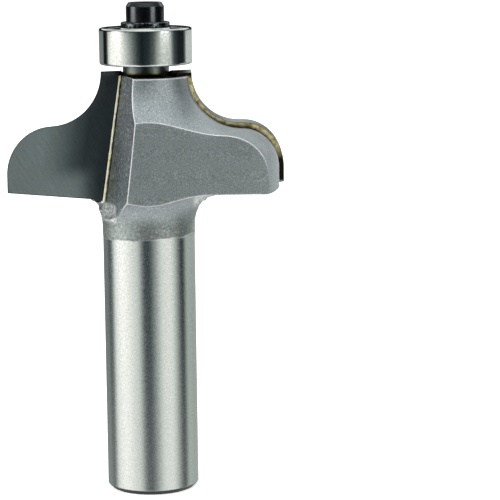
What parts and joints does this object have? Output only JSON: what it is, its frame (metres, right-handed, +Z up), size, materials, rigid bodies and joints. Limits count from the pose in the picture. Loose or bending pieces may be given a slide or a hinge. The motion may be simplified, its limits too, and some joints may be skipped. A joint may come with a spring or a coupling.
{
  "type": "router bit",
  "caption": "Ogee edge-profiling cutter with brazed carbide tips, a straight round shank and a ball bearing guide on its nose, held by a washer and a socket head screw.",
  "frame": {"origin": "middle of the shank's end face, on the axis the bit turns about", "axes": "+Z up the axis from the shank's end to the bearing; the two wings lie along X; the tip on the -X wing cuts towards -Y and the tip on the +X wing towards +Y"},
  "size_m": [0.038, 0.017, 0.0676],
  "materials": {
    "steel_body": "alloy steel: shank ground smooth, head and neck blasted to a fine satin",
    "carbide": "sintered tungsten carbide, dark grey, finely ground",
    "braze": "silver braze, pale gold with a dark flux edge",
    "bearing_steel": "bearing steel, ground and polished",
    "bearing_ball": "bearing steel, lapped to a mirror",
    "bearing_cage": "pressed steel strip, as rolled",
    "bearing_shield": "pressed steel sheet, smooth",
    "spring_wire": "drawn spring wire",
    "washer_steel": "turned steel, plain",
    "black_oxide": "alloy steel, black oxide, lightly oiled"
  },
  "bodies": {
    "cutter": {"cutter_body": "steel_body", "carbide_tip_1": "carbide", "carbide_tip_2": "carbide", "braze_seam_1": "braze", "braze_seam_2": "braze", "bearing_inner_ring": "bearing_steel", "washer": "washer_steel", "bearing_screw": "black_oxide"},
    "outer_ring": {"bearing_outer_ring": "bearing_steel", "bearing_shield_upper": "bearing_shield", "bearing_shield_lower": "bearing_shield", "shield_snap_ring_upper": "spring_wire", "shield_snap_ring_lower": "spring_wire"},
    "cage": {"bearing_cage_upper": "bearing_cage", "bearing_cage_lower": "bearing_cage"},
    "ball_1": {"bearing_ball_1": "bearing_ball"},
    "ball_2": {"bearing_ball_2": "bearing_ball"},
    "ball_3": {"bearing_ball_3": "bearing_ball"},
    "ball_4": {"bearing_ball_4": "bearing_ball"},
    "ball_5": {"bearing_ball_5": "bearing_ball"},
    "ball_6": {"bearing_ball_6": "bearing_ball"},
    "ball_7": {"bearing_ball_7": "bearing_ball"}
  },
  "joints": [
    {"name": "outer_ring_spin", "type": "hinge", "parent": "cutter", "child": "outer_ring", "pos_m": [0, 0, 0.06169], "axis": [0, 0, 1], "continuous": true},
    {"name": "cage_spin", "type": "hinge", "parent": "cutter", "child": "cage", "pos_m": [0, 0, 0.06169], "axis": [0, 0, 1], "continuous": true},
    {"name": "ball_1_spin", "type": "hinge", "parent": "cage", "child": "ball_1", "pos_m": [0.00437, 0, 0.06169], "axis": [0, 0, 1], "continuous": true},
    {"name": "ball_2_spin", "type": "hinge", "parent": "cage", "child": "ball_2", "pos_m": [0.00272, 0.00341, 0.06169], "axis": [0, 0, 1], "continuous": true},
    {"name": "ball_3_spin", "type": "hinge", "parent": "cage", "child": "ball_3", "pos_m": [-0.00097, 0.00426, 0.06169], "axis": [0, 0, 1], "continuous": true},
    {"name": "ball_4_spin", "type": "hinge", "parent": "cage", "child": "ball_4", "pos_m": [-0.00393, 0.00189, 0.06169], "axis": [0, 0, 1], "continuous": true},
    {"name": "ball_5_spin", "type": "hinge", "parent": "cage", "child": "ball_5", "pos_m": [-0.00393, -0.00189, 0.06169], "axis": [0, 0, 1], "continuous": true},
    {"name": "ball_6_spin", "type": "hinge", "parent": "cage", "child": "ball_6", "pos_m": [-0.00097, -0.00426, 0.06169], "axis": [0, 0, 1], "continuous": true},
    {"name": "ball_7_spin", "type": "hinge", "parent": "cage", "child": "ball_7", "pos_m": [0.00272, -0.00341, 0.06169], "axis": [0, 0, 1], "continuous": true}
  ],
  "couplings": [
    {"joint": "cage_spin", "follows": "outer_ring_spin", "ratio": 0.6364},
    {"joint": "ball_1_spin", "follows": "outer_ring_spin", "ratio": 1.697},
    {"joint": "ball_2_spin", "follows": "outer_ring_spin", "ratio": 1.697},
    {"joint": "ball_3_spin", "follows": "outer_ring_spin", "ratio": 1.697},
    {"joint": "ball_4_spin", "follows": "outer_ring_spin", "ratio": 1.697},
    {"joint": "ball_5_spin", "follows": "outer_ring_spin", "ratio": 1.697},
    {"joint": "ball_6_spin", "follows": "outer_ring_spin", "ratio": 1.697},
    {"joint": "ball_7_spin", "follows": "outer_ring_spin", "ratio": 1.697}
  ]
}
